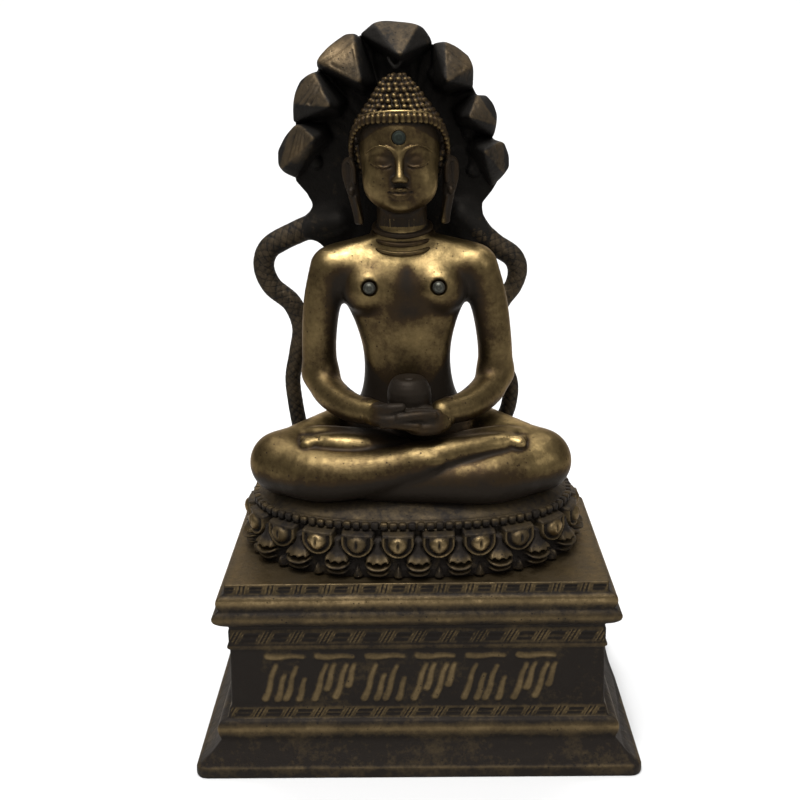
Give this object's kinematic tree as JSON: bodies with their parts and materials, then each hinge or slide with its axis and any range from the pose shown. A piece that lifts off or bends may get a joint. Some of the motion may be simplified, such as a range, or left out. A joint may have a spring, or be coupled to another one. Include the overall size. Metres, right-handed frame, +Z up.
{
  "type": "naga buddha",
  "caption": "Seated figure with a pot in its lap under a many-headed serpent hood, on a lotus seat and a stepped plinth, to stand on a shelf or altar.",
  "frame": {"origin": "middle of the plinth's underside", "axes": "+Z up, the figure faces -Y, +X is the figure's left"},
  "size_m": [0.1864, 0.118, 0.3],
  "materials": {
    "dark_bronze": "dark brown patina, brassy where it is rubbed",
    "worn_brass": "polished by handling, with dark patina left in the hollows",
    "blackened_bronze": "near black patina with brown worn edges",
    "dark_stone": "dark polished inlay",
    "stud_metal": "dull silver-grey dome"
  },
  "bodies": {
    "root": {"plinth": "dark_bronze", "buddha_on_lotus": "worn_brass", "naga_hood": "blackened_bronze", "forehead_inlay": "dark_stone", "chest_stud_left": "stud_metal", "chest_stud_right": "stud_metal"}
  },
  "joints": []
}
